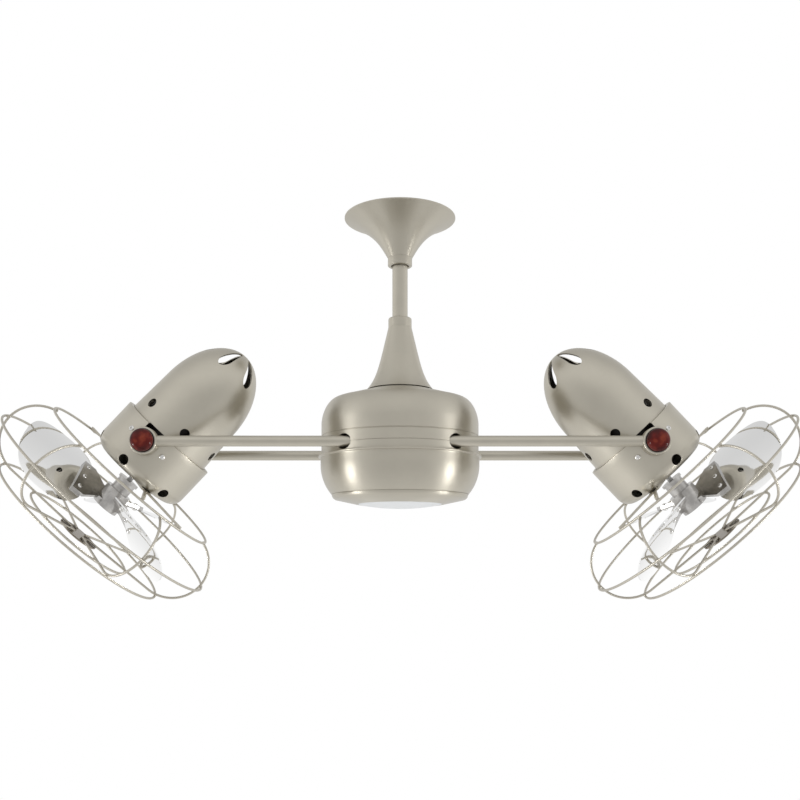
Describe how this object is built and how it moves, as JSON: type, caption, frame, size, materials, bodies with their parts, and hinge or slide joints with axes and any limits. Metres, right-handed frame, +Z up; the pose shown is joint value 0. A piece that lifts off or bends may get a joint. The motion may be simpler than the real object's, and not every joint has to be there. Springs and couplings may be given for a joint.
{
  "type": "twin head ceiling fan",
  "caption": "Rotating ceiling fan with a trumpet canopy, a domed hub with a lamp, and parallel arm tubes that carry tilting caged heads with bullet shaped motor shells.",
  "frame": {"origin": "centre of the ceiling plane, on the turning axis of the arms, midway between the two ceiling screw slots", "axes": "+Z up, +X along the arms, +Y to the back as the picture shows it"},
  "size_m": [0.9768, 0.3154, 0.4751],
  "materials": {
    "nickel": "brushed satin nickel",
    "cage": "satin nickel plated wire",
    "cast": "satin casting",
    "steel": "plain steel",
    "dark": "dark satin",
    "blade": "mirror polished",
    "wood": "glossy red brown burl",
    "lens": "frosted",
    "bulb": "opal"
  },
  "bodies": {
    "ceiling_mount": {"canopy": "nickel", "hanger_bracket": "steel", "hanger_ball": "dark", "rod_pins": "steel", "downrod": "nickel", "rod_collars": "nickel", "rod_cover": "nickel", "spindle": "steel"},
    "turret": {"hub_dome": "nickel", "hub_lower_shell": "nickel", "hub_bearings": "steel", "hub_frame": "cast", "front_arm": "nickel", "back_arm": "nickel", "bowl": "nickel", "bezel": "nickel", "lens": "lens", "lamp_holder": "cast", "lamp": "bulb", "frame_screws": "steel", "left_knuckles": "nickel", "right_knuckles": "nickel"},
    "left_head": {"left_rear_shell": "nickel", "left_front_band": "nickel", "left_motor": "steel", "left_motor_mount": "cast", "left_band_screws": "steel", "left_pivot_studs": "dark", "left_cage_rear": "cage", "left_cage_main_ring": "cage", "left_cage_front_rings": "cage", "left_cage_ribs": "cage", "left_medallion": "nickel"},
    "left_fan": {"left_shaft": "steel", "left_blade_hub": "cast", "left_blade_1": "blade", "left_blade_2": "blade", "left_blade_3": "blade", "left_blade_screws": "steel"},
    "left_front_knob": {"left_front_knob": "wood"},
    "left_back_knob": {"left_back_knob": "wood"},
    "right_head": {"right_rear_shell": "nickel", "right_front_band": "nickel", "right_motor": "steel", "right_motor_mount": "cast", "right_band_screws": "steel", "right_pivot_studs": "dark", "right_cage_rear": "cage", "right_cage_main_ring": "cage", "right_cage_front_rings": "cage", "right_cage_ribs": "cage", "right_medallion": "nickel"},
    "right_fan": {"right_shaft": "steel", "right_blade_hub": "cast", "right_blade_1": "blade", "right_blade_2": "blade", "right_blade_3": "blade", "right_blade_screws": "steel"},
    "right_front_knob": {"right_front_knob": "wood"},
    "right_back_knob": {"right_back_knob": "wood"}
  },
  "joints": [
    {"name": "turret_spin", "type": "hinge", "parent": "ceiling_mount", "child": "turret", "pos_m": [0, 0, -0.287], "axis": [0, 0, 1], "continuous": true},
    {"name": "left_tilt", "type": "hinge", "parent": "turret", "child": "left_head", "pos_m": [-0.3, 0, -0.287], "axis": [0, 1, 0], "range_deg": [-60, 150]},
    {"name": "left_fan_spin", "type": "hinge", "parent": "left_head", "child": "left_fan", "pos_m": [-0.3, 0, -0.287], "axis": [-0.6884, 0, -0.7254], "continuous": true},
    {"name": "left_front_knob_turn", "type": "hinge", "parent": "left_head", "child": "left_front_knob", "pos_m": [-0.3, -0.09, -0.287], "axis": [0, -1, 0], "range_deg": [0, 360]},
    {"name": "left_back_knob_turn", "type": "hinge", "parent": "left_head", "child": "left_back_knob", "pos_m": [-0.3, 0.09, -0.287], "axis": [0, 1, 0], "range_deg": [0, 360]},
    {"name": "right_tilt", "type": "hinge", "parent": "turret", "child": "right_head", "pos_m": [0.3, 0, -0.287], "axis": [0, -1, 0], "range_deg": [-60, 150]},
    {"name": "right_fan_spin", "type": "hinge", "parent": "right_head", "child": "right_fan", "pos_m": [0.3, 0, -0.287], "axis": [-0.6884, 0, 0.7254], "continuous": true},
    {"name": "right_front_knob_turn", "type": "hinge", "parent": "right_head", "child": "right_front_knob", "pos_m": [0.3, -0.09, -0.287], "axis": [0, -1, 0], "range_deg": [0, 360]},
    {"name": "right_back_knob_turn", "type": "hinge", "parent": "right_head", "child": "right_back_knob", "pos_m": [0.3, 0.09, -0.287], "axis": [0, 1, 0], "range_deg": [0, 360]}
  ]
}
